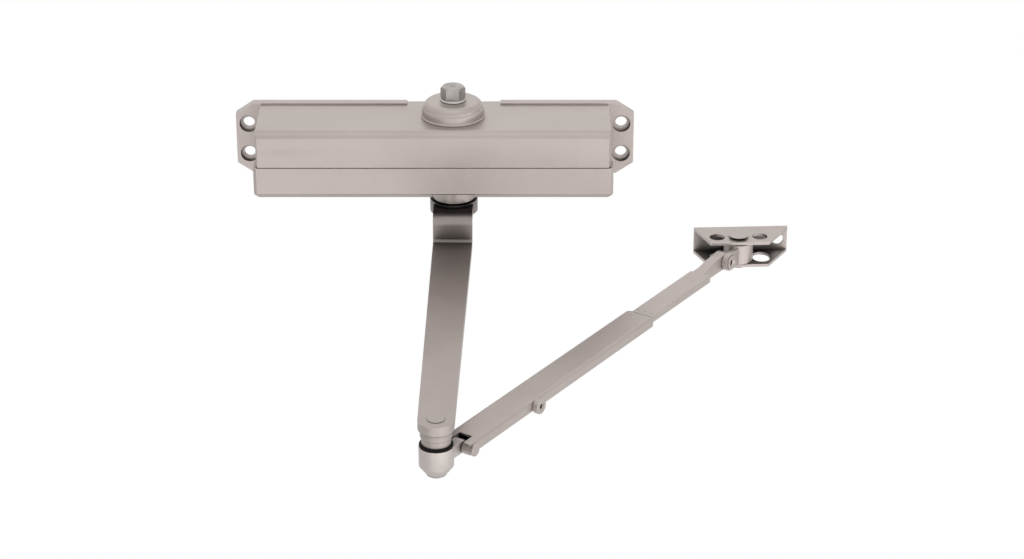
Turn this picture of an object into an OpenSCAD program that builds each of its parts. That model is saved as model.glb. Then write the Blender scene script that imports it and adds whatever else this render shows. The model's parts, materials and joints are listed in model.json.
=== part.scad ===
// Surface-mounted hydraulic door closer: rack and pinion body, main arm, adjustable forearm and shoe.
// Origin: centre of the four fixing holes, on the back face that lies against the door.
// +X runs to the right along the door, +Y goes into the door, +Z is up. Sizes are in millimetres.

/* [Fixing flange] */
// Distance between the left and the right fixing holes
hole_span_x = 224; // [218:1:232]
// Distance between the upper and the lower fixing holes
hole_span_z = 19; // [16:0.5:22]
// Diameter of each fixing hole
screw_hole_d = 7; // [5:0.5:7.5]
// Diameter of the recess that takes a screw head
screw_head_d = 11; // [9.5:0.5:11.5]
// Depth of the recess that takes a screw head
screw_head_depth = 2.6; // [1:0.2:4]
// Thickness of the flange
flange_t = 6; // [5:0.5:7]
// Height of the flange
flange_h = 45; // [44:0.5:50]
// Flange metal outside each hole centre
ear_margin = 7.5; // [6.5:0.5:10]

/* [Body casting] */
// Width of the casting between the flange ears
body_w = 208.4; // [202:0.4:209]
// Height of the casting
body_h = 42; // [41:0.5:46]
// Depth of the casting from the door to its front face
body_depth = 51.4; // [51:0.2:56]
// Diameter of the main bore
bore_d = 34; // [33:0.5:34.5]
// Distance from the front face back to the axis of the main bore
bore_setback = 27.4; // [26.4:0.2:27.8]
// Height of the main bore above the middle of the fixing holes
bore_rise = 0.5; // [-1:0.25:1.5]
// Distance of the spindle to the right of the middle
spindle_offset = 11.4; // [5:0.2:14]
// Height of the front seam above which the casting shows and below which the cover starts
seam_rise = -0.8; // [-2:0.2:1]

/* [Spindle and pinion] */
// Diameter of the spindle where it runs in the needle bearings
journal_d = 17; // [16:0.25:17]
// Width across the flats of the hexagons at the spindle's ends
hex_af = 12.8; // [12:0.2:13.6]
// Height of the upper hexagon
hex_top_h = 6.7; // [5:0.1:14]
// Number of pinion teeth
pinion_teeth = 9; // [9:1:9]
// Gear module of the pinion and the rack
gear_module = 2; // [1.95:0.05:2]
// Width of the pinion's teeth
pinion_w = 20; // [16:0.5:21]
// Turn of the spindle from closed to its stop, in degrees
spindle_turn = 160; // [140:2:164]

/* [Bearings and seals] */
// Diameter of the visible upper bearing cap
cap_d = 35.4; // [33:0.2:36]
// Height of the visible upper bearing cap
cap_h = 7; // [6.6:0.2:9]
// Outer diameter of the needle bearings
bearing_od = 23; // [22.5:0.25:23.5]
// Length of the needle bearings
bearing_l = 7.8; // [6.5:0.2:8]
// Diameter of the lower bearing boss
lower_boss_d = 25.6; // [25.4:0.2:28]
// Depth of the lower bearing boss below the main bore
lower_boss_h = 13.4; // [12.8:0.2:14.4]

/* [Piston and spring] */
// Length of the piston head on the spring side
head_spring_l = 15; // [11:0.5:16]
// Length of the piston head on the oil side
head_oil_l = 16; // [14:0.5:20]
// Wire diameter of the closing spring
spring_wire = 4.4; // [3.8:0.1:4.6]
// Mean diameter of the closing spring
spring_mean_d = 26.6; // [26:0.2:27.4]
// Turns of the closing spring
spring_turns = 7.5; // [5.5:0.5:7.5]
// Thickness of the end plugs
plug_t = 14; // [11:0.5:15]

/* [Valve cover] */
// Wall of the snap-on valve cover
cover_t = 1.6; // [1.2:0.1:2]
// Height of the bevel along the cover's lower edge
cover_bevel = 3.2; // [2:0.2:4]

/* [Main arm] */
// Distance from the spindle to the elbow
arm_len = 253.5; // [220:0.5:280]
// Width of the arm at the spindle end
arm_w_spindle = 23.8; // [21:0.2:25]
// Width of the arm at the elbow end
arm_w_elbow = 19.3; // [18:0.1:21]
// Thickness of the arm
arm_t = 5; // [4:0.25:5.5]
// Drop of the arm's joggle
arm_drop = 17.5; // [16:0.5:20]
// Distance from the spindle to the back of the joggle
arm_joggle = 20; // [20:0.5:26]
// Diameter of the arm's hub
hub_d = 28.6; // [26:0.2:30]
// Height of the arm's hub
hub_h = 7.8; // [7:0.2:11]
// Turn of the arm away from square to the door, in degrees
arm_angle = -1.04; // [-2:0.02:2]

/* [Forearm] */
// Direction of the forearm from the X axis, in degrees
forearm_angle = 55.8; // [54:0.05:62]
// Rise of the forearm towards the shoe, in degrees
forearm_rise = 0.8; // [0.6:0.05:1]
// Distance from the elbow to the end of the tube
tube_end = 201; // [190:1:215]
// Width of the tube
tube_w = 19; // [18.6:0.1:20]
// Height of the tube
tube_h = 6.8; // [6.6:0.1:7.6]
// Wall of the tube
tube_wall = 1.1; // [1:0.05:1.15]
// Width of the sliding rod
rod_w = 14; // [13:0.1:14.4]
// Distance from the elbow to the tilt pin of the fork
tilt_reach = 20.3; // [19.5:0.1:21]
// Distance from the elbow to the clamp screw
clamp_reach = 80.2; // [78:0.2:90]

/* [Shoe] */
// Distance from the elbow to the rivet of the shoe
shoe_reach = 315.5; // [312:0.1:320]
// Distance from the rivet of the shoe to its tilt pin
shoe_pin_reach = 17.5; // [17:0.1:19]
// Turn of the shoe away from the door, in degrees
shoe_angle = 2.9; // [-4:0.1:6]
// Width of the shoe
shoe_w = 57.4; // [56:0.2:62]
// Depth of the shoe from its back face
shoe_d = 24.4; // [23.6:0.2:26]
// Height of the shoe
shoe_h = 16.4; // [16:0.1:17.4]
// Thickness of the shoe's sheet
shoe_t = 1.8; // [1.6:0.1:2.4]
// Distance from the shoe's pivot to the fixing hole in its web
shoe_hole_x = 26.2; // [25:0.2:27]
// Diameter of the shoe's fixing hole
shoe_hole_d = 7; // [5:0.25:8]

/* [Hidden] */
$fn = 64;
paint = [0.73, 0.70, 0.67];
zinc = [0.72, 0.71, 0.68];
steel = [0.60, 0.61, 0.62];
dark_steel = [0.35, 0.35, 0.36];
rubber = [0.07, 0.07, 0.07];
nylon = [0.85, 0.84, 0.78];
brass = [0.80, 0.65, 0.35];

eps = 0.01;
seat_gap = 0.05;    // between pieces that are pressed or screwed together
run_gap = 0.06;     // radial clearance of a shaft in its bearing
move_gap = 0.3;     // between faces that move past each other

// Half the chord of a circle of radius r at the distance d from its centre
function chord(r, d) = sqrt(max(r * r - d * d, 0));

// Body planes
top_z = bore_rise + body_h / 2;
bottom_z = bore_rise - body_h / 2;
sx = spindle_offset;
sy = bore_setback - body_depth;
half_w = body_w / 2;
bay_depth = body_depth - 6;
flange_w = hole_span_x + 2 * ear_margin;
ear_cut_x = 10.5;
ear_cut_z = 7;
front_round = 5;
front_crown = 0.5;
corner_cut = 1.8;
flange_notch = 28;
head_reach = 30;     // space cleared in front of the fixing screws

// Spindle levels
boss_h = 3;
boss_d = cap_d - 0.8;
cap_brim_d = cap_d + 1.4;
cap_brim_h = 1;
cap_edge = 4.5;
cap_base_z = top_z + boss_h;
cap_top_z = cap_base_z + cap_h;
cap_wall = 1.2;
cap_thread_d = bearing_od + 3;
cap_thread_z = bore_rise + bore_d / 2 + 0.2;
journal_r = journal_d / 2;
neck_r = 7.2;
neck_z = cap_top_z - cap_wall - 0.3;
journal_top_z = cap_top_z + 2.1;
hex_top_z = journal_top_z + hex_top_h;
lower_boss_z = bore_rise - bore_d / 2 - lower_boss_h;
journal_low_z = lower_boss_z - 0.5;
hub_top_z = journal_low_z - 0.3;
hub_low_z = hub_top_z - hub_h;
hex_low_z = hub_low_z + 0.3;
lower_bearing_z = bore_rise - bore_d / 2 - 0.3 - bearing_l;
upper_bearing_z = cap_thread_z + 0.2;
seal_gap = 0.1;
seal_lip = 1.2;
circlip_t = 1;
needle_r = 1;
needle_count = 20;

// Gears
pitch_r = gear_module * pinion_teeth / 2;
pressure_angle = 25;
rack_up = 1.5;
rack_down = 2;
pinion_up = 1.7;
pinion_down = 1.9;
backlash = 0.15;
rack_pitch = PI * gear_module;
rack_h = pinion_w - 1.6;
piston_travel = pitch_r * spindle_turn * PI / 180;

// Piston
piston_r = bore_d / 2 - 0.05;
slot_gap = 1;
slot_left = sx - pitch_r - pinion_up - slot_gap;
slot_right = sx + pitch_r + pinion_up + slot_gap + piston_travel;
slot_half = pitch_r + rack_down;
piston_left = slot_left - head_spring_l;
piston_right = slot_right + head_oil_l;
check_r = 4;
check_depth = 7;
ring_back = 12;
ring_w = 2.4;
ring_depth = 1.7;
spring_spigot_h = 2;

// End plugs, adjuster and spring
plug_recess = 1;
plug_r = bore_d / 2 + 1.45;
plug_thread_r = plug_r + seat_gap;
plug_out = half_w - plug_recess;
plug_in = plug_out - plug_t;
nose_r = 12;
adjuster_r = 5;
adjuster_thread_r = 4;
collar_t = 2;
seat_travel = 6;
seat_t = 5;
hub_r = 7;
spring_seat_x = -plug_in + 0.1 + collar_t + 0.5;
spring_left = spring_seat_x + seat_t;
adjuster_end_l = 14;
adjuster_tip = spring_left + adjuster_end_l;
spring_len = piston_left - spring_left;

// Valves
valve_z = bottom_z + 7.5;
sweep_x = 45;
latch_x = 65;
backcheck_x = -70;
valve_head_r = 3.6;
valve_stem_r = 2.5;
valve_head_l = 4;
valve_wall = 0.6;
valve_l = bay_depth + sy - chord(bore_d / 2, bore_rise - valve_z - valve_stem_r) - valve_wall;
gallery_r = 1.5;
gallery_wall = 1.2;
gallery_y = sy - chord(plug_r + gallery_wall + gallery_r, bore_rise - valve_z);
peg_x = 60;
peg_r = 2;
peg_z = bottom_z + 12;
peg_l = 4;

// Cover
cover_front = body_depth + 0.6;
cover_side = 1.8;
cover_wrap = 6;
cover_notch_w = 24;
cover_notch_h = 3;
cover_corner = 3;

// Main arm
hub_r_arm = hub_d / 2;
arm_top_z = hub_top_z - 1.2;
arm_low_top_z = arm_top_z - arm_drop;
arm_low_z = arm_low_top_z - arm_t;
bend_in = 2;
ex = sx + arm_len * sin(arm_angle);
ey = sy - arm_len * cos(arm_angle);
arm_end_extra = 0.6;
arm_screw_r = 4;
arm_screw_head_r = 6.5;
arm_screw_head_h = 5;
arm_screw_key = 6;

// Elbow and forearm
collar_r = 8.5;
collar_low_r = 7.9;
collar_mid_z = arm_low_z - 4.4;
collar_z = arm_low_z - 8.7;
ring_t = 1.4;
ring_r = 9;
knuckle_r = 9.3;
knuckle_z = collar_z - ring_t - 0.1;
knuckle_taper_z = knuckle_z - 11.2;
knuckle_low_z = knuckle_taper_z - 4.2;
stud_r = 4;
stud_head_r = 4.6;
stud_head_h = 0.3;
bush_r = 5.5;
tube_top_z = knuckle_z - 5.3;
rod_z = tube_top_z - tube_h / 2;
tongue_half = 3.1;
tongue_r = 3.4;
cheek_in = 4.2;
cheek_back = tube_h / 2;
cheek_r = cheek_back + 0.5;
pin_r = 1.9;
pin_head_r = 3.5;
pin_head_t = 1.6;
tube_start = tilt_reach + 6.7;
tube_round = 2.4;
rod_h = tube_h - 2 * tube_wall - 0.2;
rod_tail = 24.7;
rod_start = clamp_reach - rod_tail;
guide_l = 1;
guide_inner_l = 12;
guide_window = 0.15;
clamp_boss_r = 4.4;
clamp_boss_l = 3.2;
clamp_r = 2.5;
clamp_tip_r = 2;

// Shoe
shoe_pin_x = shoe_reach - shoe_pin_reach;
shoe_pin_z = rod_z + (shoe_pin_x - tilt_reach) * tan(forearm_rise);
rod_pin_x = tilt_reach + (shoe_pin_x - tilt_reach) / cos(forearm_rise);
lap_r = 5.3;
shoe_low_z = shoe_pin_z - lap_r - move_gap - shoe_t;
shoe_top_z = shoe_low_z + shoe_h;
shoe_back = 16.2;
shoe_front = shoe_back - shoe_d;
shoe_shift = 3.2;
shoe_front_half = 17.7;
plate_hole_d = 9.4;
plate_hole_x = 13;
plate_hole_y = 0.7;
slot_d = 10.4;
slot_x = [-11.5, 14.6];
slot_y = [1, 4.8];
block_r = 9;
block_top_z = shoe_top_z - shoe_t - 0.4;
block_low_z = shoe_low_z + shoe_t + 0.4;
lap_mid = 1.55;     // face between the rod's eye and the block's lug
eye_t = 5.8;
lug_t = 3.3;
rod_flat_l = 28;
rod_flat_end = rod_pin_x - rod_flat_l;
rod_step = 1.6;
mark_x = tube_end + 6.4;
mark_r = 0.5;
lap_pin_r = 2.6;
lap_head_r = 4.3;
lap_head_t = 1.1;
rivet_r = 3;
rivet_head_r = 5.8;
rivet_head_t = 1.2;

// Extrudes a profile drawn as (Y, Z) along X, from x0 to x1
module along_x(x0, x1) {
    translate([x0, 0, 0]) rotate([90, 0, 90]) linear_extrude(height = x1 - x0) children();
}

// Cylinder along X, Y or an upright one, from its start point
module rod_x(x0, x1, y, z, r) {
    translate([x0, y, z]) rotate([0, 90, 0]) cylinder(r = r, h = x1 - x0);
}
module rod_y(x, y0, y1, z, r) {
    translate([x, y1, z]) rotate([90, 0, 0]) cylinder(r = r, h = y1 - y0);
}
module post(x, y, z0, z1, r) {
    translate([x, y, z0]) cylinder(r = r, h = z1 - z0);
}

// Upright ring
module ring_z(x, y, z0, z1, r_in, r_out) {
    difference() {
        post(x, y, z0, z1, r_out);
        post(x, y, z0 - 1, z1 + 1, r_in);
    }
}

// Ring on the main bore's axis
module ring_x(x0, x1, r_in, r_out) {
    difference() {
        rod_x(x0, x1, sy, bore_rise, r_out);
        rod_x(x0 - 1, x1 + 1, sy, bore_rise, r_in);
    }
}

// Rectangle with round corners, centred
module round_rect(w, h, r) {
    square([w - 2 * r, h], center = true);
    square([w, h - 2 * r], center = true);
    for (i = [-1, 1], j = [-1, 1]) translate([i * (w / 2 - r), j * (h / 2 - r)]) circle(r = r);
}

// Places its children in the forearm's own frame: +X along the forearm, origin on the elbow axis
module on_forearm() {
    translate([ex, ey, 0]) rotate([0, 0, forearm_angle]) children();
}

// The same, on the line of the tube and the rod, which rises from the tilt pin to the shoe
module on_rise() {
    on_forearm() translate([tilt_reach, 0, rod_z]) rotate([0, -forearm_rise, 0])
        translate([-tilt_reach, 0, -rod_z]) children();
}

// Places its children on the shoe: origin on the rivet, +Y towards the door
module on_shoe() {
    translate([ex + shoe_reach * cos(forearm_angle), ey + shoe_reach * sin(forearm_angle), 0])
        rotate([0, 0, shoe_angle]) children();
}

// ---- Body casting ----

module flange() {
    w = flange_w / 2;
    h = flange_h / 2;
    difference() {
        translate([0, 0, 0]) rotate([90, 0, 0]) linear_extrude(height = flange_t)
            polygon([[-w, -h + ear_cut_z], [-w + ear_cut_x, -h], [w - ear_cut_x, -h], [w, -h + ear_cut_z],
                [w, h - ear_cut_z], [w - ear_cut_x, h], [-w + ear_cut_x, h], [-w, h - ear_cut_z]]);
        translate([sx - flange_notch, -flange_t - 1, top_z]) cube([2 * flange_notch, flange_t + 2, flange_h]);
    }
}

// Section of the casting, with a round upper front edge and the valve bay cut below the seam
module block_section() {
    front = -body_depth;
    polygon([[0, bottom_z], [0, top_z], [front + front_round, top_z],
        [front + front_round, top_z - front_round], [front, top_z - front_round],
        [front - front_crown, seam_rise + 9], [front, seam_rise],
        [-bay_depth, seam_rise], [-bay_depth, bottom_z + 1.5], [1.5 - bay_depth, bottom_z]]);
    translate([front + front_round, top_z - front_round]) circle(r = front_round);
}

module block() {
    y = body_depth + front_crown + 1;
    intersection() {
        along_x(-half_w, half_w) block_section();
        translate([0, 0, bottom_z - 1]) linear_extrude(height = body_h + 2)
            polygon([[-half_w, 1], [-half_w, corner_cut - body_depth], [corner_cut - half_w, -y],
                [half_w - corner_cut, -y], [half_w, corner_cut - body_depth], [half_w, 1]]);
    }
}

module closer_body() {
    color(paint) difference() {
        union() {
            flange();
            block();
            post(sx, sy, top_z - 1, cap_base_z, boss_d / 2);
            post(sx, sy, lower_boss_z, bottom_z + 1, lower_boss_d / 2);
        }
        // Fixing holes
        for (i = [-1, 1], j = [-1, 1]) {
            rod_y(i * hole_span_x / 2, -flange_t - 1, 1, j * hole_span_z / 2, screw_hole_d / 2);
            rod_y(i * hole_span_x / 2, -flange_t - head_reach, screw_head_depth - flange_t,
                j * hole_span_z / 2, screw_head_d / 2);
        }
        // Main bore and the threads of the two end plugs
        rod_x(-half_w - 1, half_w + 1, sy, bore_rise, bore_d / 2);
        for (m = [0, 1]) mirror([m, 0, 0])
            rod_x(plug_in - 0.5, half_w + 1, sy, bore_rise, plug_thread_r);
        // Upper bearing cap, its O-ring, and the lower bearing with its seal and circlip
        post(sx, sy, bore_rise, cap_base_z + 1, cap_thread_d / 2 + seat_gap);
        post(sx, sy, cap_base_z - 1.6, cap_base_z + 1, cap_thread_d / 2 + 1.6);
        post(sx, sy, lower_boss_z - 1, bore_rise, bearing_od / 2);
        post(sx, sy, lower_boss_z + 0.4, lower_boss_z + 0.4 + circlip_t + 0.1, bearing_od / 2 + 0.5);
        // Valve bores, their ports and the gallery that joins them
        for (x = [sweep_x, latch_x, backcheck_x]) {
            rod_y(x, -bay_depth - 1, valve_head_l - bay_depth, valve_z, valve_head_r + run_gap);
            rod_y(x, -bay_depth, valve_l - bay_depth, valve_z, valve_stem_r + run_gap);
            rod_y(x, -bay_depth, sy, valve_z, 0.8);
        }
        rod_x(backcheck_x - 5, half_w + 1, gallery_y, valve_z, gallery_r);
        // Sockets for the cover's pegs
        for (i = [-1, 1]) rod_y(i * peg_x, -bay_depth - 1, peg_l + 0.5 - bay_depth, peg_z, peg_r + 0.1);
    }
}

// Section of the cover; with an inset it is the space inside, open at the back and at the top
module cover_section(inset) {
    front = inset - cover_front;
    low = bottom_z + inset;
    bevel = cover_bevel - 0.4 * inset;
    back = -bay_depth - move_gap + 2 * inset;
    top = seam_rise - move_gap + inset;
    polygon([[front, top], [front, low + bevel], [front + bevel, low], [back, low], [back, top]]);
}

module valve_cover() {
    out = half_w + cover_side;
    color(paint) {
        difference() {
            intersection() {
                union() {
                    along_x(-out, out) cover_section(0);
                    for (m = [0, 1]) mirror([m, 0, 0]) along_x(half_w + 0.1, out)
                        translate([-bay_depth - 1, bottom_z + 1])
                            square([cover_wrap + 1, seam_rise - move_gap - bottom_z - 1]);
                }
                translate([0, 0, bottom_z - 1]) linear_extrude(height = body_h)
                    polygon([[-out, 0], [-out, corner_cut - cover_front],
                        [corner_cut - out, -cover_front - eps], [out - corner_cut, -cover_front - eps],
                        [out, corner_cut - cover_front], [out, 0]]);
                rotate([90, 0, 0]) linear_extrude(height = 2 * body_depth)
                    polygon([[-out, top_z], [-out, bottom_z + cover_corner], [cover_corner - out, bottom_z],
                        [out - cover_corner, bottom_z], [out, bottom_z + cover_corner], [out, top_z]]);
            }
            along_x(-half_w - 0.1, half_w + 0.1) intersection() {
                cover_section(cover_t);
                translate([-cover_front - 1, bottom_z - 1]) square([body_depth, body_h]);
            }
            translate([-half_w - 0.1, -bay_depth - move_gap - eps, bottom_z + cover_t])
                cube([body_w + 0.2, 1, body_h]);
            translate([sx - cover_notch_w / 2, -cover_front - 1, bottom_z - 1])
                cube([cover_notch_w, body_depth, cover_notch_h + 1]);
        }
        for (i = [-1, 1])
            rod_y(i * peg_x, eps + cover_t - cover_front - 0.5, peg_l - bay_depth, peg_z, peg_r);
    }
}

// ---- Ends of the main bore ----

module end_plug(bore) {
    difference() {
        rod_x(plug_in, plug_out, sy, bore_rise, plug_r);
        for (i = [-1, 1]) rod_x(plug_out - 5, plug_out + 1, sy + i * (nose_r - 1), bore_rise, 2);
        ring_x(plug_in + 2, plug_in + 4.2, plug_r - 2.2, plug_r + 1);
        rod_x(plug_in - 1, plug_out + 1, sy, bore_rise, bore);
    }
}

module left_end_plug() {
    color(zinc) mirror([1, 0, 0]) end_plug(adjuster_r + run_gap);
}

module right_end_plug() {
    color(zinc) {
        end_plug(3);
        difference() {
            ring_x(piston_right + move_gap, plug_in + eps, nose_r - 3, nose_r);
            rod_y(plug_in - 6, sy - 20, sy + 20, bore_rise, 2);
        }
        rod_x(plug_in + 1, plug_out - 1, sy, bore_rise, 3 + eps);
    }
}

module end_plug_o_rings() {
    color(rubber) for (m = [0, 1]) mirror([m, 0, 0])
        ring_x(plug_in + 2.05, plug_in + 4.15, plug_r - 2.1, plug_r);
}

module power_adjuster() {
    color(zinc) difference() {
        union() {
            rod_x(-plug_out, -plug_in + 0.2, sy, bore_rise, adjuster_r);
            rod_x(-plug_in + 0.1, -plug_in + 0.1 + collar_t, sy, bore_rise, adjuster_r + 2);
            rod_x(-plug_in + collar_t, adjuster_tip, sy, bore_rise, adjuster_thread_r);
        }
        ring_x(-plug_out + 6, -plug_out + 8, adjuster_r - 1.4, adjuster_r + 0.5);
        translate([-plug_out - 1, sy, bore_rise]) rotate([0, 90, 0]) cylinder(r = 3, h = 5, $fn = 6);
    }
}

module adjuster_o_ring() {
    color(rubber) ring_x(-plug_out + 6.1, -plug_out + 7.9, adjuster_r - 1.4 + run_gap,
        adjuster_r + run_gap / 2);
}

module spring_seat() {
    color(steel) difference() {
        union() {
            rod_x(spring_seat_x, spring_left, sy, bore_rise, bore_d / 2 - 0.1);
            rod_x(spring_seat_x, spring_left + 5, sy, bore_rise, hub_r);
        }
        rod_x(spring_seat_x - 1, spring_left + 6, sy, bore_rise, adjuster_thread_r + run_gap);
        for (i = [-1, 1])
            rod_x(spring_seat_x - 1, spring_left + 1, sy, bore_rise + i * (bore_d / 2 - 3.5), 1.5);
    }
}

// ---- Upper and lower bearings ----

module upper_bearing_cap() {
    color(paint) difference() {
        union() {
            post(sx, sy, cap_thread_z, cap_base_z + eps, cap_thread_d / 2);
            post(sx, sy, cap_base_z, cap_base_z + cap_brim_h, cap_brim_d / 2);
            translate([sx, sy, 0]) rotate_extrude() {
                translate([0, cap_base_z]) square([cap_d / 2, cap_h - cap_edge]);
                translate([0, cap_base_z]) square([cap_d / 2 - cap_edge, cap_h]);
                translate([cap_d / 2 - cap_edge, cap_top_z - cap_edge]) intersection() {
                    circle(r = cap_edge);
                    square(cap_edge);
                }
            }
        }
        post(sx, sy, cap_thread_z - 1, cap_top_z - cap_wall, bearing_od / 2);
        post(sx, sy, cap_thread_z, cap_top_z + 1, neck_r + move_gap);
    }
}

module bearing_cap_o_ring() {
    color(rubber) ring_z(sx, sy, cap_base_z - 1.5, cap_base_z - 0.1, cap_thread_d / 2 + seat_gap,
        cap_thread_d / 2 + 1.5);
}

// Drawn cup with its loose needle rollers
module needle_bearing(z0) {
    path_r = journal_r + run_gap + needle_r;
    color(steel) {
        ring_z(sx, sy, z0, z0 + bearing_l, path_r + needle_r + 0.03, bearing_od / 2 - seat_gap);
        for (i = [0 : needle_count - 1]) translate([sx, sy, 0]) rotate([0, 0, i * 360 / needle_count])
            post(path_r, 0, z0 + 0.4, z0 + bearing_l - 0.4, needle_r);
    }
}

module upper_needle_bearing() {
    needle_bearing(upper_bearing_z);
}

module lower_needle_bearing() {
    needle_bearing(lower_bearing_z);
}

// Lip seal that fills its pocket from z0 to z1, with its lip towards the oil below it
module shaft_seal(z0, z1) {
    out = bearing_od / 2 - seat_gap;
    color(rubber) difference() {
        post(sx, sy, z0, z1, out);
        post(sx, sy, z0 - 1, z1 + 1, journal_r + run_gap);
        ring_z(sx, sy, z0 - 1, z1 - seal_lip, journal_r + 0.9, out - 1);
    }
}

module upper_shaft_seal() {
    shaft_seal(upper_bearing_z + bearing_l + seal_gap, cap_top_z - cap_wall - seat_gap);
}

module lower_shaft_seal() {
    z0 = lower_boss_z + 0.4 + circlip_t + 0.15;
    z1 = lower_bearing_z - seal_gap;
    translate([0, 0, z0 + z1]) mirror([0, 0, 1]) shaft_seal(z0, z1);
}

module lower_seal_circlip() {
    z0 = lower_boss_z + 0.45;
    color(dark_steel) difference() {
        ring_z(sx, sy, z0, z0 + circlip_t, bearing_od / 2 - 1.6, bearing_od / 2 + 0.45);
        translate([sx - 3, sy, z0 - 1]) cube([6, bearing_od, circlip_t + 2]);
    }
}

// ---- Valves ----

module gallery_plug() {
    color(steel) rod_x(half_w - 5, half_w - 0.5, gallery_y, valve_z, gallery_r - 0.02);
}

module valve(x) {
    color(brass) difference() {
        union() {
            rod_y(x, -bay_depth - 1.4, 1.8 - bay_depth, valve_z, valve_head_r);
            rod_y(x, -bay_depth, valve_l - 0.5 - bay_depth, valve_z, valve_stem_r);
        }
        translate([x - 5, -bay_depth - 2, valve_z - 0.5]) cube([10, 1.6, 1]);
    }
}

module sweep_valve() {
    valve(sweep_x);
}

module latch_valve() {
    valve(latch_x);
}

module backcheck_valve() {
    valve(backcheck_x);
}

module valve_o_rings() {
    color(rubber) for (x = [sweep_x, latch_x, backcheck_x]) difference() {
        rod_y(x, 2 - bay_depth, 3.8 - bay_depth, valve_z, valve_head_r);
        rod_y(x, 1 - bay_depth, 5 - bay_depth, valve_z, valve_stem_r + run_gap);
    }
}

// ---- Piston ----

// Rack teeth towards the pinion, drawn in plan; a space faces the spindle when the closer is at rest
module rack_plan() {
    tan_a = tan(pressure_angle);
    half = (rack_pitch / 2 - backlash) / 2;
    tip = half - rack_up * tan_a;
    root = half + rack_down * tan_a;
    first = ceil((slot_left - sx) / rack_pitch - 0.5);
    last = floor((slot_right - sx) / rack_pitch - 0.5);
    translate([sx, sy + pitch_r]) intersection() {
        union() {
            for (k = [first : last]) translate([(k + 0.5) * rack_pitch, 0])
                polygon([[-root, rack_down + 1], [-root, rack_down], [-tip, -rack_up], [tip, -rack_up],
                    [root, rack_down], [root, rack_down + 1]]);
        }
        translate([slot_left - sx - 1, -rack_up - 1])
            square([slot_right - slot_left + 2, rack_up + rack_down + 2]);
    }
}

module piston() {
    color(steel) {
        difference() {
            union() {
                difference() {
                    rod_x(piston_left, piston_right, sy, bore_rise, piston_r);
                    translate([slot_left, sy - slot_half, bore_rise - bore_d])
                        cube([slot_right - slot_left, 2 * slot_half, 2 * bore_d]);
                }
                intersection() {
                    translate([0, 0, bore_rise - rack_h / 2]) linear_extrude(height = rack_h) rack_plan();
                    rod_x(piston_left, piston_right, sy, bore_rise, piston_r);
                }
                rod_x(piston_left - spring_spigot_h, piston_left + eps, sy, bore_rise,
                    (spring_mean_d - spring_wire) / 2 - 0.6);
            }
            rod_x(piston_left - spring_spigot_h - 1, slot_left + 1, sy, bore_rise, 2.5);
            rod_x(slot_right - 1, piston_right + 1, sy, bore_rise, 1.5);
            rod_x(piston_right - check_depth, piston_right + 1, sy, bore_rise, check_r);
            rod_x(piston_right - 1.5, piston_right - 0.4, sy, bore_rise, check_r + 0.5);
            ring_x(piston_right - ring_back, piston_right - ring_back + ring_w,
                piston_r - ring_depth, bore_d);
        }
    }
}

module piston_ring() {
    color(nylon) ring_x(piston_right - ring_back + 0.05, piston_right - ring_back + ring_w - 0.05,
        piston_r - ring_depth + 0.05, bore_d / 2 - 0.03);
}

module check_valve_seat() {
    color(brass) ring_x(piston_right - 2.8, piston_right - 1.55, 1.6, check_r - 0.02);
}

module check_valve_ball() {
    color(steel) translate([piston_right - 2.8 - 2.1, sy, bore_rise]) sphere(r = 2.1);
}

module check_valve_circlip() {
    color(dark_steel) difference() {
        ring_x(piston_right - 1.45, piston_right - 0.45, check_r - 1.2, check_r + 0.45);
        translate([piston_right - 2, sy - 1, bore_rise]) cube([2, 2, 6]);
    }
}

// Coil of round wire swept along X with a ring of points at each step
coil_sides = 8;
coil_steps = 20;
function coil_rise(s) = s - 0.42 * sin(360 * s) / (2 * PI);
function coil_point(i, j, n) =
    let (s = i / n, a = 360 * spring_turns * s, b = 360 * (j + 0.5) / coil_sides,
        w = spring_wire / 2, r = spring_mean_d / 2 + w * cos(b))
    [w + 0.02 + (spring_len - spring_wire - 0.04) * coil_rise(s) + w * sin(b), r * cos(a), r * sin(a)];

module closing_spring() {
    n = round(spring_turns * coil_steps);
    points = [for (i = [0 : n], j = [0 : coil_sides - 1]) coil_point(i, j, n)];
    sides = [for (i = [0 : n - 1], j = [0 : coil_sides - 1])
        let (k = (j + 1) % coil_sides, a = i * coil_sides, b = a + coil_sides) [a + j, a + k, b + k, b + j]];
    start_face = [for (j = [0 : coil_sides - 1]) coil_sides - 1 - j];
    end_face = [for (j = [0 : coil_sides - 1]) n * coil_sides + j];
    color(dark_steel) translate([spring_left, sy, bore_rise])
        polyhedron(points = points, faces = concat(sides, [start_face, end_face]));
}

// ---- Spindle ----

base_r = pitch_r * cos(pressure_angle);
function roll(r) = let (q = sqrt(max(pow(r / base_r, 2) - 1, 0))) q * 180 / PI - atan(q);
tooth_half = 90 / pinion_teeth - backlash / 4 / pitch_r * 180 / PI;
flank_steps = 5;

// Outline of one pinion tooth's two flanks about the angle a
function tooth(a) =
    let (tip = pitch_r + pinion_up, at_pitch = tooth_half + roll(pitch_r),
        radii = [for (i = [0 : flank_steps]) base_r + (tip - base_r) * i / flank_steps])
    concat(
        [[(pitch_r - pinion_down) * cos(a - at_pitch), (pitch_r - pinion_down) * sin(a - at_pitch)]],
        [for (r = radii) [r * cos(a - at_pitch + roll(r)), r * sin(a - at_pitch + roll(r))]],
        [for (i = [flank_steps : -1 : 0]) let (r = radii[i])
            [r * cos(a + at_pitch - roll(r)), r * sin(a + at_pitch - roll(r))]],
        [[(pitch_r - pinion_down) * cos(a + at_pitch), (pitch_r - pinion_down) * sin(a + at_pitch)]]);

module hexagon(z0, z1) {
    translate([sx, sy, z0]) rotate([0, 0, arm_angle])
        cylinder(r = hex_af / 2 / cos(30), h = z1 - z0, $fn = 6);
}

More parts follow.
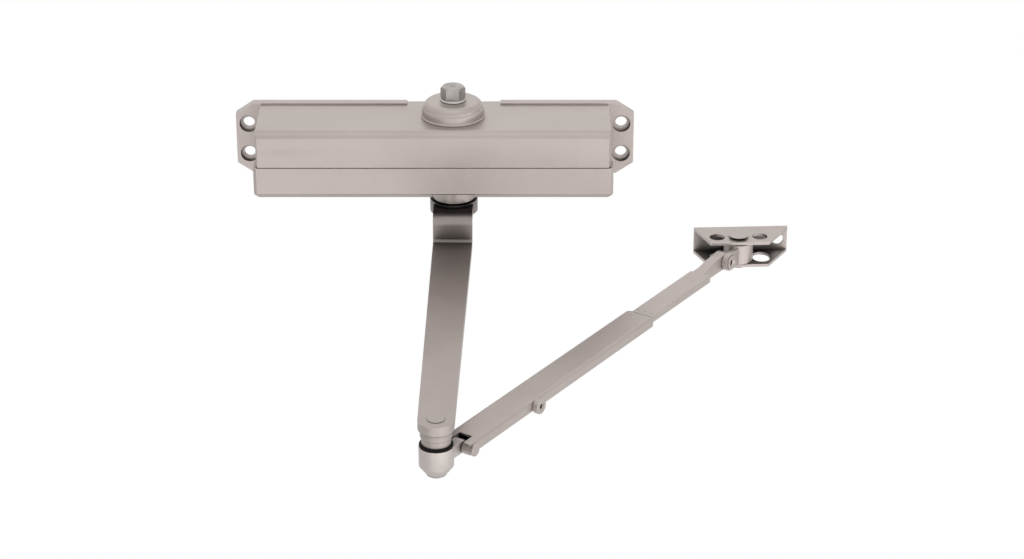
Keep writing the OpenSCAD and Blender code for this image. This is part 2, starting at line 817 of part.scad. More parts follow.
module pinion_shaft() {
    half = pinion_w / 2;
    color(steel) difference() {
        union() {
            translate([sx, sy, bore_rise - half]) linear_extrude(height = pinion_w)
                polygon([for (k = [0 : pinion_teeth - 1]) each tooth(90 + k * 360 / pinion_teeth)]);
            post(sx, sy, bore_rise + half - eps, neck_z, journal_r);
            post(sx, sy, neck_z - eps, journal_top_z, neck_r);
            post(sx, sy, journal_low_z, bore_rise - half + eps, journal_r);
            intersection() {
                hexagon(journal_top_z - eps, hex_top_z);
                translate([sx, sy, journal_top_z - 1])
                    cylinder(r1 = hex_af / 2 / cos(30) + hex_top_h, r2 = hex_af / 2 - 0.4, h = hex_top_h + 1);
            }
            hexagon(hex_low_z, journal_low_z + eps);
        }
        post(sx, sy, hex_low_z - 1, hex_low_z + 16, arm_screw_r);
        translate([sx, sy, hex_top_z - 1.2]) cylinder(r1 = 0.4, r2 = 2, h = 1.21);
    }
}

// Side view of the arm's strap, drawn as (distance from the spindle, height)
module arm_side() {
    out = bend_in + arm_t;
    // upper flat, web and lower flat
    translate([0, arm_top_z - arm_t]) square([arm_joggle - bend_in, arm_t]);
    translate([arm_joggle, arm_low_top_z + bend_in])
        square([arm_t, arm_drop - arm_t - 2 * bend_in]);
    translate([arm_joggle + out, arm_low_z]) square([arm_len, arm_t]);
    // round bends
    translate([arm_joggle - bend_in, arm_top_z - out]) intersection() {
        difference() {
            circle(r = out);
            circle(r = bend_in);
        }
        square(out);
    }
    translate([arm_joggle + out, arm_low_top_z + bend_in]) intersection() {
        difference() {
            circle(r = out);
            circle(r = bend_in);
        }
        translate([-out, -out]) square(out);
    }
}

// The joggle starts at the arm's upper flat and must leave room for both bends
module main_arm() {
    w0 = arm_w_spindle / 2;
    w1 = arm_w_elbow / 2;
    color(paint) translate([sx, sy, 0]) rotate([0, 0, arm_angle]) difference() {
        union() {
            post(0, 0, hub_low_z, hub_top_z, hub_r_arm);
            intersection() {
                rotate([90, 0, -90]) translate([0, 0, -arm_w_spindle])
                    linear_extrude(height = 2 * arm_w_spindle) arm_side();
                translate([0, 0, arm_low_z - 1]) linear_extrude(height = arm_drop + arm_t + 2) {
                    polygon([[-w0, 0], [w0, 0], [w1, -arm_len], [-w1, -arm_len]]);
                    translate([0, -arm_len - arm_end_extra]) circle(r = w1);
                }
            }
        }
        translate([0, 0, hub_low_z - 1])
            cylinder(r = (hex_af / 2 + seat_gap) / cos(30), h = hub_h + 2, $fn = 6);
        post(0, -arm_len, arm_low_z - 1, arm_low_top_z + 1, stud_r + seat_gap);
    }
}

module arm_washer() {
    color(zinc) ring_z(sx, sy, hub_low_z - 1.65, hub_low_z - 0.05, 4.3, 9);
}

module arm_screw() {
    under = hub_low_z - 1.7;
    color(zinc) difference() {
        union() {
            post(sx, sy, under - arm_screw_head_h, under, arm_screw_head_r);
            post(sx, sy, under - eps, hex_low_z + 14, arm_screw_r - 0.03);
        }
        translate([sx, sy, under - arm_screw_head_h - 1])
            cylinder(r = arm_screw_key / 2 / cos(30), h = 4, $fn = 6);
    }
}

// ---- Elbow ----

module elbow_stud() {
    head_z = knuckle_low_z - 0.2;
    color(zinc) {
        post(ex, ey, arm_low_top_z, arm_low_top_z + stud_head_h, stud_head_r);
        post(ex, ey, head_z - 1, arm_low_top_z + eps, stud_r);
        post(ex, ey, collar_mid_z, arm_low_z, collar_r);
        post(ex, ey, collar_z, collar_mid_z + eps, collar_low_r);
        translate([ex, ey, head_z - 2.4]) cylinder(r1 = 3.4, r2 = bush_r, h = 1.4);
        post(ex, ey, head_z - 1 - eps, head_z, bush_r);
    }
}

module elbow_ring() {
    color(rubber) ring_z(ex, ey, collar_z - ring_t, collar_z, stud_r + seat_gap, ring_r);
}

module elbow_knuckle() {
    color(paint) difference() {
        union() {
            post(ex, ey, knuckle_taper_z, knuckle_z, knuckle_r);
            translate([ex, ey, knuckle_low_z])
                cylinder(r1 = bush_r + 0.7, r2 = knuckle_r, h = knuckle_taper_z - knuckle_low_z);
            on_forearm() difference() {
                rotate([90, 0, 0]) linear_extrude(height = 2 * tongue_half, center = true) {
                    translate([0, rod_z - tongue_r]) square([tilt_reach, 2 * tongue_r]);
                    translate([tilt_reach, rod_z]) circle(r = tongue_r);
                }
                rod_y(tilt_reach, -tongue_half - 1, tongue_half + 1, rod_z, pin_r + run_gap);
            }
        }
        post(ex, ey, knuckle_low_z - 1, knuckle_z + 1, bush_r + seat_gap);
    }
}

module elbow_bush() {
    color(nylon) ring_z(ex, ey, knuckle_low_z, knuckle_z, stud_r + run_gap, bush_r);
}

// ---- Forearm ----

module forearm_tube() {
    inner_h = tube_h - 2 * tube_wall;
    back = tilt_reach - cheek_back;
    color(paint) on_rise() difference() {
        translate([back, 0, rod_z]) rotate([90, 0, 90])
            linear_extrude(height = tube_end - back) round_rect(tube_w, tube_h, tube_round);
        // gap for the knuckle's tongue between two solid cheeks, then the hollow behind them
        translate([back - 1, -cheek_in, rod_z - tube_h])
            cube([tube_start - back + 1, 2 * cheek_in, 2 * tube_h]);
        translate([tube_start - 1, -tube_w / 2 + tube_wall, rod_z - inner_h / 2])
            cube([tube_end, tube_w - 2 * tube_wall, inner_h]);
        // the cheeks' rounded ends
        rotate([90, 0, 0]) linear_extrude(height = 2 * tube_w, center = true) difference() {
            translate([back - 1, rod_z - tube_h]) square([cheek_back + 1, 2 * tube_h]);
            translate([back + cheek_r, rod_z]) circle(r = cheek_r);
        }
        rod_y(tilt_reach, -tube_w, tube_w, rod_z, pin_r + seat_gap);
        rod_y(clamp_reach, -tube_w, 0, rod_z, clamp_tip_r + 0.15);
    }
}

// Riveted across the tube's cheeks, with a round head on each side
module tilt_pin() {
    half = tube_w / 2 + 0.05;
    color(zinc) on_forearm() {
        rod_y(tilt_reach, -half - pin_head_t, half + pin_head_t, rod_z, pin_r);
        for (m = [0, 1]) mirror([0, m, 0]) rod_y(tilt_reach, half, half + pin_head_t, rod_z, pin_head_r);
    }
}

module rod_guide() {
    window_w = rod_w + 2 * guide_window;
    window_h = rod_h + 2 * guide_window;
    inner_w = tube_w - 2 * tube_wall - 0.1;
    color(nylon) on_rise() difference() {
        union() {
            translate([tube_end + seat_gap, 0, rod_z]) rotate([90, 0, 90])
                linear_extrude(height = guide_l) round_rect(tube_w - 2, tube_h - 0.4, tube_round);
            translate([tube_end - guide_inner_l, -inner_w / 2, rod_z - rod_h / 2])
                cube([guide_inner_l + 1, inner_w, rod_h]);
        }
        translate([tube_end - guide_inner_l - 1, -window_w / 2, rod_z - window_h / 2])
            cube([guide_inner_l + guide_l + 3, window_w, window_h]);
    }
}

// Threaded boss on the tube's side, for the set screw that clamps the rod
module clamp_boss() {
    face = -tube_w / 2 - seat_gap;
    color(zinc) on_rise() difference() {
        rod_y(clamp_reach, face - clamp_boss_l, face, rod_z, clamp_boss_r);
        rod_y(clamp_reach, face - clamp_boss_l - 1, face + 1, rod_z, clamp_r + run_gap);
    }
}

module clamp_screw() {
    face = -tube_w / 2;
    color(zinc) on_rise() difference() {
        union() {
            rod_y(clamp_reach, face - clamp_boss_l + 0.3, face - 0.3, rod_z, clamp_r);
            rod_y(clamp_reach, face - 0.3 - eps, -rod_w / 2 - 0.1, rod_z, clamp_tip_r);
        }
        translate([clamp_reach, face - clamp_boss_l + 2.3, rod_z]) rotate([90, 0, 0])
            cylinder(r = 1.5, h = 4, $fn = 6);
    }
}

// The rod's eye, seen from the side
module forearm_rod() {
    half_h = rod_h / 2;
    color(paint) on_rise() difference() {
        union() {
            translate([rod_start, 0, rod_z]) rotate([90, 0, 90])
                linear_extrude(height = rod_flat_end - rod_start) round_rect(rod_w, rod_h, 0.8);
            translate([0, -lap_mid + 0.15 + eye_t, 0]) rotate([90, 0, 0]) linear_extrude(height = eye_t) {
                polygon([[rod_flat_end - 4, rod_z - half_h + eps], [rod_flat_end + 1, rod_z - half_h],
                    [rod_flat_end + 8, rod_z - lap_r + 0.9], [rod_pin_x - 4, rod_z - lap_r + 0.7],
                    [rod_pin_x, rod_z - lap_r + 0.1], [rod_pin_x, rod_z + lap_r - 0.1],
                    [rod_pin_x - 4, rod_z + lap_r - 0.7], [rod_flat_end + 14, rod_z + lap_r - 0.9],
                    [rod_flat_end + 2, rod_z + half_h], [rod_flat_end - 4, rod_z + half_h - eps]]);
                translate([rod_pin_x, rod_z]) circle(r = lap_r);
            }
            // the far side narrows from the rod's full width to the eye
            translate([0, 0, rod_z - half_h]) linear_extrude(height = rod_h)
                polygon([[rod_flat_end - 1, -lap_mid + 1], [rod_flat_end - 1, rod_w / 2 - rod_step],
                    [rod_pin_x - 8, -lap_mid + 0.15 + eye_t], [rod_pin_x - 8, -lap_mid + 1]]);
        }
        for (i = [-1 : 1])
            translate([mark_x, i * rod_w / 3, rod_z + half_h - 0.3]) cylinder(r = mark_r, h = 1);
        rod_y(rod_pin_x, -tube_w, tube_w, rod_z, lap_pin_r + run_gap);
    }
}

// Tubular rivet through the rod's eye and the block's lug
module shoe_tilt_pin() {
    near = -lap_mid - 0.15 - lug_t - 0.05;
    far = -lap_mid + 0.15 + eye_t + 0.15;
    color(zinc) on_forearm() difference() {
        union() {
            rod_y(shoe_pin_x, near - lap_head_t, far + lap_head_t, shoe_pin_z, lap_pin_r);
            rod_y(shoe_pin_x, near - lap_head_t, near, shoe_pin_z, lap_head_r);
            rod_y(shoe_pin_x, far, far + lap_head_t, shoe_pin_z, lap_head_r);
        }
        rod_y(shoe_pin_x, near - lap_head_t - 1, near + 2, shoe_pin_z, 1.6);
        translate([shoe_pin_x, near - lap_head_t + 1, shoe_pin_z]) rotate([90, 0, 0])
            cylinder(r1 = 1.6, r2 = 2.8, h = 1.01);
    }
}

// ---- Shoe ----

module shoe_block() {
    color(paint) on_forearm() difference() {
        union() {
            post(shoe_reach, 0, block_low_z, block_top_z, block_r);
            translate([0, -lap_mid - 0.15, 0]) rotate([90, 0, 0]) linear_extrude(height = lug_t) {
                translate([shoe_pin_x, shoe_pin_z - lap_r]) square([shoe_pin_reach - block_r + 2, 2 * lap_r]);
                translate([shoe_pin_x, shoe_pin_z]) circle(r = lap_r);
            }
        }
        rod_y(shoe_pin_x, -tube_w, tube_w, shoe_pin_z, lap_pin_r + seat_gap);
        post(shoe_reach, 0, shoe_low_z, shoe_top_z, rivet_r + run_gap);
    }
}

module shoe_plan() {
    left = shoe_shift - shoe_w / 2;
    right = shoe_shift + shoe_w / 2;
    polygon([[left, shoe_back], [left, shoe_back - shoe_t], [-shoe_front_half, shoe_front],
        [shoe_front_half, shoe_front], [right, shoe_back - shoe_t], [right, shoe_back]]);
}

module shoe_bracket() {
    color(paint) on_shoe() difference() {
        translate([0, 0, shoe_low_z]) linear_extrude(height = shoe_h) shoe_plan();
        translate([-shoe_w, shoe_front - 1, shoe_low_z + shoe_t])
            cube([2 * shoe_w, shoe_d + 1 - shoe_t, shoe_h - 2 * shoe_t]);
        for (i = [-1, 1])
            post(i * plate_hole_x, plate_hole_y, shoe_top_z - shoe_t - 1, shoe_top_z + 1, plate_hole_d / 2);
        rod_y(shoe_hole_x, shoe_back - shoe_t - 1, shoe_back + 1, (shoe_top_z + shoe_low_z) / 2,
            shoe_hole_d / 2);
        // the lower plate's slots
        for (x = slot_x) {
            for (y = slot_y) post(x, y, shoe_low_z - 1, shoe_low_z + shoe_t + 1, slot_d / 2);
            translate([x - slot_d / 2, slot_y[0], shoe_low_z - 1])
                cube([slot_d, slot_y[1] - slot_y[0], shoe_t + 2]);
        }
        post(0, 0, shoe_low_z - 1, shoe_top_z + 1, rivet_r + seat_gap);
    }
}

module shoe_rivet() {
    color(zinc) on_shoe() {
        post(0, 0, shoe_low_z - rivet_head_t, shoe_top_z + rivet_head_t, rivet_r);
        translate([0, 0, shoe_top_z + 0.05])
            cylinder(r1 = rivet_head_r, r2 = rivet_head_r - 0.5, h = rivet_head_t);
        translate([0, 0, shoe_low_z - 0.05 - rivet_head_t])
            cylinder(r1 = rivet_head_r - 0.5, r2 = rivet_head_r, h = rivet_head_t);
    }
}

module shoe_washers() {
    color(nylon) on_shoe() {
        ring_z(0, 0, block_top_z + 0.05, shoe_top_z - shoe_t - 0.05, rivet_r + seat_gap, block_r - 2.5);
        ring_z(0, 0, shoe_low_z + shoe_t + 0.05, block_low_z - 0.05, rivet_r + seat_gap, block_r - 2.5);
    }
}

closer_body();
valve_cover();
left_end_plug();
right_end_plug();
end_plug_o_rings();
upper_bearing_cap();
bearing_cap_o_ring();
upper_needle_bearing();
lower_needle_bearing();
upper_shaft_seal();
lower_shaft_seal();
lower_seal_circlip();
gallery_plug();
valve_o_rings();
adjuster_o_ring();
sweep_valve();
latch_valve();
backcheck_valve();
power_adjuster();
spring_seat();
piston();
piston_ring();
check_valve_seat();
check_valve_ball();
check_valve_circlip();
closing_spring();
pinion_shaft();
main_arm();
arm_screw();
arm_washer();
elbow_stud();
elbow_ring();
elbow_knuckle();
elbow_bush();
forearm_tube();
tilt_pin();
rod_guide();
clamp_boss();
clamp_screw();
forearm_rod();
shoe_tilt_pin();
shoe_block();
shoe_bracket();
shoe_rivet();
shoe_washers();
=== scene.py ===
import json
import math

import bmesh
import bpy
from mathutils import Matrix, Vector


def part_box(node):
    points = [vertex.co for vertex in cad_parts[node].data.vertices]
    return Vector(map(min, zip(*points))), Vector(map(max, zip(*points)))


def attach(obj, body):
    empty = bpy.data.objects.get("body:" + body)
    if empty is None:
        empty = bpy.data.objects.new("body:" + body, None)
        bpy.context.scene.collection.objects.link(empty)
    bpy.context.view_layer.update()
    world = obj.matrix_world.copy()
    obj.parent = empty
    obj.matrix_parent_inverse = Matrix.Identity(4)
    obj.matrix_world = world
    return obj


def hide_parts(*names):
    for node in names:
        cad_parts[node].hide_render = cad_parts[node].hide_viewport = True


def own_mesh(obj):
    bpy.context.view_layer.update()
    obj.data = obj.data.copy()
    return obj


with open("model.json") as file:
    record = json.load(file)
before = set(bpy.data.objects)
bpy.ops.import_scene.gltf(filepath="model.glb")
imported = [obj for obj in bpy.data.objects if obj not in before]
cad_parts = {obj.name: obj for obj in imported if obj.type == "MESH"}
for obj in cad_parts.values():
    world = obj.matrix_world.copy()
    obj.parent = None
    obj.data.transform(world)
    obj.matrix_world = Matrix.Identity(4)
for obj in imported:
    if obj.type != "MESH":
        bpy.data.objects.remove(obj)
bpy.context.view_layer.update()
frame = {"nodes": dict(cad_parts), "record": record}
nodes = frame["nodes"]
home = {n: body for body, names in frame["record"]["behaviour"]["bodies"].items() for n in names}
slots = {s["node"]: s["material_slot"] for s in frame["record"]["subparts"]}
mm = 0.001

# ---- Sizes ----

edge_angle = math.radians(38)     # edges sharper than this are broken
edge_steps = 2
smooth_angle = math.radians(35)   # sharper than this, an edge of a dressed piece shades as an edge
cad_smooth_angle = math.radians(30)
flat_angle = math.radians(0.6)    # faces that turn less than this are one flat
weld_gap = 2e-6
turned_steps = 96
cap_height, boss_height = 7 * mm, 3 * mm

# Width of the broken edges, and the finish where it isn't the one of the node's slot
dressed = {
    "closer_body": (0.5 * mm, None),
    "valve_cover": (0.35 * mm, None),
    "upper_bearing_cap": (0.3 * mm, "cap_paint"),
    "main_arm": (0.6 * mm, "arm_paint"),
    "elbow_knuckle": (0.4 * mm, "knuckle_paint_lit"),
    "forearm_tube": (0.3 * mm, None),
    "forearm_rod": (0.4 * mm, None),
    "shoe_block": (0.4 * mm, None),
    "shoe_bracket": (0.4 * mm, "shoe_paint"),
    "tilt_pin": (0.3 * mm, None),
    "clamp_boss": (0.3 * mm, None),
    "elbow_ring": (0.4 * mm, None),
    "elbow_stud": (0.25 * mm, "arm_paint"),
}

# ---- Shader nodes ----


def add(tree, kind, operation=None, **values):
    """Adds a shader node. The values are those of its inputs, named with _ for each space."""
    node = tree.nodes.new("ShaderNode" + kind)
    if operation:
        node.operation = operation
    for name, value in values.items():
        node.inputs[name.replace("_", " ")].default_value = value
    return node


def opaque(colour):
    return (*colour, 1)


# ---- Camera and studio ----


def set_camera():
    data = bpy.data.cameras.new("camera")
    data.lens, data.sensor_width = 94.92, 36
    data.clip_start, data.clip_end = 0.05, 20
    cam = bpy.data.objects.new("camera", data)
    cam.location = (0.0463, -1.5216, 0.5972)
    look_down = 24.5
    cam.rotation_euler = (math.radians(90 - look_down), 0, 0)
    bpy.context.scene.collection.objects.link(cam)
    bpy.context.scene.camera = cam


def softbox(name, place, aim, size, watts):
    data = bpy.data.lights.new(name, "AREA")
    data.shape, data.size, data.size_y = "RECTANGLE", *size
    data.energy = watts
    lamp = bpy.data.objects.new(name, data)
    lamp.location = place
    lamp.rotation_euler = (Vector(aim) - Vector(place)).to_track_quat("-Z", "Y").to_euler()
    bpy.context.scene.collection.objects.link(lamp)


def white_where_seen(tree, shader):
    """A shader that gives way to plain white where the camera, glass or a glossy face sees it."""
    link = tree.links.new
    path = add(tree, "LightPath")
    seen = add(tree, "Math", "MAXIMUM")
    either = add(tree, "Math", "MAXIMUM")
    link(path.outputs["Is Camera Ray"], seen.inputs[0])
    link(path.outputs["Is Transmission Ray"], seen.inputs[1])
    link(seen.outputs[0], either.inputs[0])
    link(path.outputs["Is Glossy Ray"], either.inputs[1])
    kind = "Background" if shader.bl_idname == "ShaderNodeBackground" else "Emission"
    white = add(tree, kind, Strength=1, Color=opaque((1, 1, 1)))
    mix = add(tree, "MixShader")
    link(either.outputs[0], mix.inputs[0])
    link(shader.outputs[0], mix.inputs[1])
    link(white.outputs[0], mix.inputs[2])
    return mix.outputs[0]


def set_world():
    world = bpy.data.worlds.new("studio")
    bpy.context.scene.world = world
    world.use_nodes = True
    tree = world.node_tree
    plain = tree.nodes["Background"]
    plain.inputs["Color"].default_value = (1, 0.99, 0.98, 1)
    plain.inputs["Strength"].default_value = 0.45
    tree.links.new(white_where_seen(tree, plain), tree.nodes["World Output"].inputs["Surface"])


def lay_floor():
    """A pale floor far below the part, so that views from under the part see the part."""
    bm = bmesh.new()
    bmesh.ops.create_grid(bm, x_segments=1, y_segments=1, size=9)
    mesh = bpy.data.meshes.new("floor")
    bm.to_mesh(mesh)
    bm.free()
    floor = bpy.data.objects.new("floor", mesh)
    floor.location = (0, 0, -2.4)
    bpy.context.scene.collection.objects.link(floor)
    pale = bpy.data.materials.new("pale_floor")
    pale.use_nodes = True
    tree = pale.node_tree
    coat = tree.nodes["Principled BSDF"]
    coat.inputs["Base Color"].default_value = (0.8, 0.8, 0.8, 1)
    coat.inputs["Roughness"].default_value = 0.9
    tree.links.new(white_where_seen(tree, coat), tree.nodes["Material Output"].inputs["Surface"])
    floor.data.materials.append(pale)


def hang_lamps():
    middle = (0.03, -0.12, 0)
    softbox("overhead", (-0.3, 1.9, 1.7), middle, (3.0, 1.6), 7.5)
    softbox("crown", (0.0, -0.9, 2.1), middle, (2.6, 2.8), 8)
    softbox("front", (0.2, -1.9, -0.6), middle, (2.8, 1.4), 10)
    softbox("side", (1.8, -1.2, -0.4), middle, (2.4, 1.8), 12)


# ---- Finishes ----


def scuffed(tree, where, colour, dark, scuffs):
    """The colour with darker streaks along X."""
    link = tree.links.new
    squeeze = add(tree, "Mapping", Scale=(0.12, 1, 1))
    streak = add(tree, "TexNoise", Scale=160, Detail=3)
    pick = add(tree, "MapRange", From_Min=0.6, From_Max=0.78, To_Max=scuffs)
    worn = add(tree, "MixRGB", Color2=opaque([c * 0.72 for c in dark]))
    link(where, squeeze.inputs["Vector"])
    link(squeeze.outputs["Vector"], streak.inputs["Vector"])
    link(streak.outputs["Fac"], pick.inputs["Value"])
    link(pick.outputs["Result"], worn.inputs["Fac"])
    link(colour, worn.inputs["Color1"])
    return worn.outputs["Color"]


def edges_worn_and_highlit(tree, where, colour, light, edge_wear_and_highlight):
    """The colour with its outer edges brighter here and there: partly rubbed wear, partly a painted
    highlight along the edges.
    """
    link = tree.links.new
    # Edge mask from the bevel normal: the brightening on it is partly wear and partly a painted edge
    # highlight.
    soft = add(tree, "Bevel", Radius=0.7 * mm)
    soft.samples = 4
    true = add(tree, "NewGeometry")
    bend = add(tree, "VectorMath", "DOT_PRODUCT")
    link(soft.outputs["Normal"], bend.inputs[0])
    link(true.outputs["Normal"], bend.inputs[1])
    edge = add(tree, "MapRange", From_Min=0.995, From_Max=0.93)
    link(bend.outputs["Value"], edge.inputs["Value"])
    patchy = add(tree, "TexNoise", Scale=220, Detail=3)
    link(where, patchy.inputs["Vector"])
    spots = add(tree, "MapRange", From_Min=0.38, From_Max=0.62, To_Max=edge_wear_and_highlight)
    link(patchy.outputs["Fac"], spots.inputs["Value"])
    amount = add(tree, "Math", "MULTIPLY")
    link(edge.outputs["Result"], amount.inputs[0])
    link(spots.outputs["Result"], amount.inputs[1])
    bright = add(tree, "MixRGB", Color2=opaque([min(1, c * 1.45) for c in light]))
    link(amount.outputs["Value"], bright.inputs["Fac"])
    link(colour, bright.inputs["Color1"])
    return bright.outputs["Color"]


def shaded_in_corners(tree, colour, strength, darkest_at, unshaded_at, reach):
    """Painted shade: the colour darkened where it lies deep in a corner, as ambient occlusion finds it."""
    link = tree.links.new
    # Painted shade: ambient occlusion darkens the base colour in corners, under parts and between them.
    corner = add(tree, "AmbientOcclusion", Distance=reach * mm)
    corner.samples = 8
    shade = add(tree, "MapRange", From_Min=darkest_at, From_Max=unshaded_at, To_Min=1 - strength)
    darkened = add(tree, "VectorMath", "SCALE")
    link(corner.outputs["AO"], shade.inputs["Value"])
    link(colour, darkened.inputs["Vector"])
    link(shade.outputs["Result"], darkened.inputs["Scale"])
    return darkened.outputs["Vector"]


def grained(tree, where, size, depth):
    """A normal with fine grain in relief."""
    link = tree.links.new
    fine = add(tree, "TexNoise", Scale=size, Detail=2)
    bump = add(tree, "Bump", Strength=depth, Distance=0.2 * mm)
    link(where, fine.inputs["Vector"])
    link(fine.outputs["Fac"], bump.inputs["Height"])
    return bump.outputs["Normal"]


def sheen(name, dark, light, metal, rough, grain_size, grain, cloud_size,
          scuffs=0.0, corner_shade=(), edge_wear_and_highlight=0.0, mirror=0.5):
    """A satin finish: a cloudy colour, a rough gloss that varies, fine grain in relief and a few scuffs.

    Each layer of corner shade is painted shade: it has its strength, how open a spot is where the shade is
    darkest and where it ends, and how far off the corner's walls still count, in mm. Wear brightens the
    edges here and there, partly as handling wear and partly as a painted highlight along the edges, and
    mirror is the strength of the plain gloss."""
    mat = bpy.data.materials.new(name)
    mat.use_nodes = True
    tree = mat.node_tree
    link = tree.links.new
    shader = tree.nodes["Principled BSDF"]
    shader.inputs["Metallic"].default_value = metal
    shader.inputs["Specular IOR Level"].default_value = mirror
    where = add(tree, "TexCoord").outputs["Object"]
    cloud = add(tree, "TexNoise", Scale=cloud_size, Detail=6)
    link(where, cloud.inputs["Vector"])
    tint = add(tree, "ValToRGB")
    for stop, place, colour in zip(tint.color_ramp.elements, (0.32, 0.68), (dark, light)):
        stop.position = place
        stop.color = opaque(colour)
    link(cloud.outputs["Fac"], tint.inputs["Fac"])
    gloss = add(tree, "MapRange", To_Min=rough - 0.05, To_Max=rough + 0.06)
    link(cloud.outputs["Fac"], gloss.inputs["Value"])
    link(gloss.outputs["Result"], shader.inputs["Roughness"])
    colour = tint.outputs["Color"]
    if scuffs:
        colour = scuffed(tree, where, colour, dark, scuffs)
    if edge_wear_and_highlight:
        colour = edges_worn_and_highlit(tree, where, colour, light, edge_wear_and_highlight)
    for layer in corner_shade:
        colour = shaded_in_corners(tree, colour, *layer)
    link(colour, shader.inputs["Base Color"])
    link(grained(tree, where, grain_size, grain), shader.inputs["Normal"])
    return mat


def sprayed(name, rough, grain_size, grain, cloud_size, scuffs, corner_shade, edge_wear_and_highlight, colours=None):
    """The sprayed aluminium colour that most of the closer wears."""
    dark, light = colours or ((0.45, 0.395, 0.37), (0.49, 0.435, 0.41))
    return sheen(name, dark, light, 0.6, rough, grain_size, grain, cloud_size, scuffs, corner_shade, edge_wear_and_highlight)


arm_colours = ((0.39, 0.34, 0.32), (0.43, 0.38, 0.355))
# A lighter copy of the sprayed paint for the elbow's knuckle: painted light on the side that faces the
# front lamps.
knuckle_lit_colours = ((0.5, 0.455, 0.43), (0.56, 0.51, 0.485))
# Painted shade on the arm: darkest under and in front of the body and in the arm's bend.
arm_corner_shade = [(0.95, 0.12, 0.92, 100), (0.85, 0.42, 0.95, 24)]
# The corner shade in each finish is painted shade, baked into its colour.
finishes = {
    "painted_casting": sprayed("sprayed_casting", 0.4, 900, 0.25, 30, 0.18, [(0.8, 0.1, 0.5, 45)], 0.5),
    "cap_paint": sprayed("sprayed_cap", 0.4, 900, 0.25, 45, 0.2, [(0.4, 0.1, 0.4, 20)], 0.7),
    "plastic_cover": sprayed("sprayed_cover", 0.42, 1400, 0.15, 30, 0.12, [(0.8, 0.1, 0.5, 45)], 0.3),
    "painted_steel": sprayed("sprayed_steel", 0.4, 1100, 0.2, 35, 0.2, [(0.85, 0.1, 0.5, 45)], 0.6),
    # Painted light: the knuckle's paint is a lighter copy of the sprayed paint.
    "knuckle_paint_lit": sprayed(
        "sprayed_knuckle_lit", 0.42, 1000, 0.3, 60, 0.2, [(0.85, 0.1, 0.45, 25)], 0.6, knuckle_lit_colours
    ),
    "arm_paint": sprayed("sprayed_arm", 0.4, 1100, 0.2, 35, 0.2, arm_corner_shade, 0.4, arm_colours),
    # Painted shade inside the shoe's bracket, under its top plate.
    "shoe_paint": sprayed("sprayed_shoe", 0.42, 1000, 0.4, 80, 0.3, [(0.97, 0.2, 0.8, 26)], 0.8),
    "plated_steel": sheen("zinc_plate", (0.4, 0.37, 0.355), (0.5, 0.465, 0.445), 0.85, 0.38, 1500, 0.1, 90),
    "bare_steel": sheen(
        "ground_steel", (0.32, 0.3, 0.29), (0.41, 0.385, 0.37), 1.0, 0.48, 2500, 0.12, 120, edge_wear_and_highlight=0.5
    ),
    "collar_steel": sheen("turned_collar", (0.5, 0.475, 0.46), (0.6, 0.57, 0.55), 1.0, 0.38, 2000, 0.1, 90),
    "spring_steel": sheen("blued_spring", (0.06, 0.06, 0.065), (0.1, 0.1, 0.11), 0.8, 0.4, 1200, 0.15, 80),
    "black_rubber": sheen(
        "black_rubber", (0.004, 0.004, 0.004), (0.009, 0.009, 0.009), 0.0, 0.7, 1500, 0.2, 60, mirror=0.12
    ),
    "nylon": sheen("white_nylon", (0.62, 0.6, 0.55), (0.7, 0.68, 0.62), 0.0, 0.5, 900, 0.1, 60),
    "grey_nylon": sheen("grey_nylon", (0.2, 0.19, 0.18), (0.25, 0.24, 0.23), 0.0, 0.5, 900, 0.1, 60),
    "valve_brass": sheen("turned_brass", (0.55, 0.4, 0.16), (0.66, 0.5, 0.22), 1.0, 0.28, 2000, 0.08, 90),
}

# ---- Pieces ----


def keep_piece(bm, name, like, finish=None, whole=True):
    """Makes the bmesh a piece of the node `like`, which it stands for if it is the whole of it."""
    mesh = bpy.data.meshes.new(name)
    bm.to_mesh(mesh)
    bm.free()
    piece = bpy.data.objects.new(name, mesh)
    bpy.context.scene.collection.objects.link(piece)
    mesh.shade_smooth()
    mesh.set_sharp_from_angle(angle=smooth_angle)
    even = piece.modifiers.new("even_flats", "WEIGHTED_NORMAL")
    even.mode, even.weight, even.keep_sharp = "FACE_AREA", 100, True
    mesh.materials.append(finishes[finish or slots[like]])
    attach(piece, home[like])
    if whole:
        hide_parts(like)
    return piece


def welded(node):
    """A copy of a node's mesh whose faces share their points."""
    bm = bmesh.new()
    bm.from_mesh(nodes[node].data)
    bmesh.ops.remove_doubles(bm, verts=bm.verts, dist=weld_gap)
    return bm


def dress(node, width, finish):
    """A copy of the node with its sharp edges rounded, as paint and tumbling leave them."""
    bm = welded(node)
    bmesh.ops.dissolve_limit(
        bm, angle_limit=flat_angle, verts=bm.verts, edges=bm.edges, use_dissolve_boundaries=False
    )
    edges = [e for e in bm.edges if len(e.link_faces) == 2 and e.calc_face_angle(0) > edge_angle]
    bmesh.ops.bevel(
        bm, geom=edges, offset=width, offset_type="OFFSET", affect="EDGES", segments=edge_steps,
        profile=0.5, clamp_overlap=True, material=-1, loop_slide=True,
    )
    keep_piece(bm, node + "_dressed", node, finish)


def turned(profile, centre):
    """A turned shape: its profile, as (radius, height) in mm, spun about an upright axis."""
    bm = bmesh.new()
    ring = [bm.verts.new((centre[0] + r * mm, centre[1], centre[2] + h * mm)) for r, h in profile]
    edges = [bm.edges.new(pair) for pair in zip(ring, ring[1:])]
    bmesh.ops.spin(
        bm, geom=ring + edges, cent=centre, axis=(0, 0, 1), angle=math.tau, steps=turned_steps,
        use_merge=True,
    )
    bmesh.ops.remove_doubles(bm, verts=bm.verts, dist=1e-6)
    bmesh.ops.recalc_face_normals(bm, faces=bm.faces)
    return bm


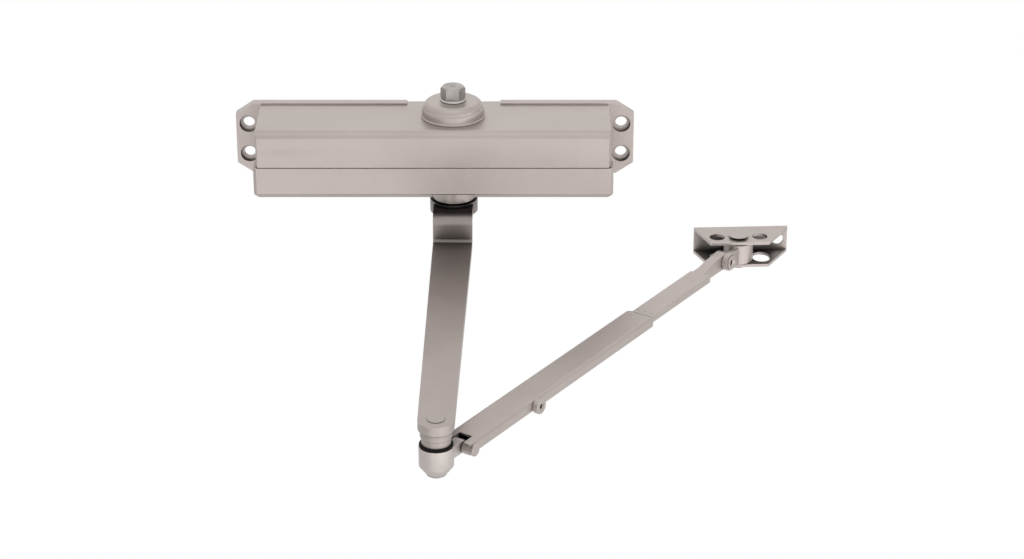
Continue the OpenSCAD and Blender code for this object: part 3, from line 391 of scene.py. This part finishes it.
def collar_on_spindle():
    """The bright turned collar at the foot of the spindle's hexagon."""
    low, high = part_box("upper_bearing_cap")
    foot = ((low[0] + high[0]) / 2, (low[1] + high[1]) / 2, high[2])
    profile = [
        (5.5, 0.1), (7.3, 0.1), (7.6, 0.35), (7.6, 0.6), (7.3, 1.1), (6.9, 1.4), (5.5, 1.4), (5.5, 0.1),
    ]
    keep_piece(turned(profile, foot), "spindle_collar", "pinion_shaft", "collar_steel", whole=False)


def skirt_on_cap():
    """The cap's skirt, which runs down over the boss to a thin rim on the body."""
    low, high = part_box("upper_bearing_cap")
    foot = high[2] - cap_height - boss_height
    place = ((low[0] + high[0]) / 2, (low[1] + high[1]) / 2, foot)
    brim = (high[0] - low[0]) / 2 / mm
    seam = boss_height / mm
    profile = [
        (brim - 0.75, seam + 3.2), (brim - 0.35, seam + 2.6), (brim, seam + 1.6), (brim + 0.1, seam + 0.8),
        (brim + 0.12, 1.2), (brim + 0.3, 1.0), (brim + 0.6, 0.8), (brim + 0.7, 0.5), (brim + 0.6, 0.1),
        (brim - 0.9, 0.1), (brim - 0.9, seam + 3.0), (brim - 0.75, seam + 3.2),
    ]
    keep_piece(turned(profile, place), "cap_skirt", "upper_bearing_cap", "cap_paint", whole=False)


def head_on_rivet():
    """The shoe's pivot: its shank, and heads with a shoulder that holds their rims off the plates."""
    low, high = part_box("shoe_rivet")
    middle = ((low[0] + high[0]) / 2, (low[1] + high[1]) / 2, 0)
    top, foot = high[2] / mm, low[2] / mm
    head = (high[0] - low[0]) / 2 / mm
    shank = head - 2.2
    profile = [
        (0, top + 0.9), (head * 0.6, top + 0.85), (head - 0.5, top + 0.6), (head, top + 0.25),
        (head - 0.3, top), (shank, top - 0.1), (shank, foot + 0.1), (head - 0.3, foot), (head, foot - 0.1),
        (head - 0.6, foot - 0.4), (0, foot - 0.5),
    ]
    keep_piece(turned(profile, middle), "shoe_rivet_headed", "shoe_rivet", "shoe_paint")


def spring_in_bore():
    """The closing spring, as a welded copy with a mesh of its own; in the closer the piston presses it
    together as the arm turns.
    """
    spring = keep_piece(welded("closing_spring"), "closing_spring_wound", "closing_spring")
    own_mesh(spring)


set_camera()
set_world()
lay_floor()
hang_lamps()
for name, node in nodes.items():
    node.data.materials.clear()
    node.data.materials.append(finishes[slots[name]])
    node.data.shade_smooth()
    node.data.set_sharp_from_angle(angle=cad_smooth_angle)
for node, (width, finish) in dressed.items():
    dress(node, width, finish)
collar_on_spindle()
skirt_on_cap()
head_on_rivet()
spring_in_bore()

bpy.context.scene.view_settings.view_transform = "Standard"
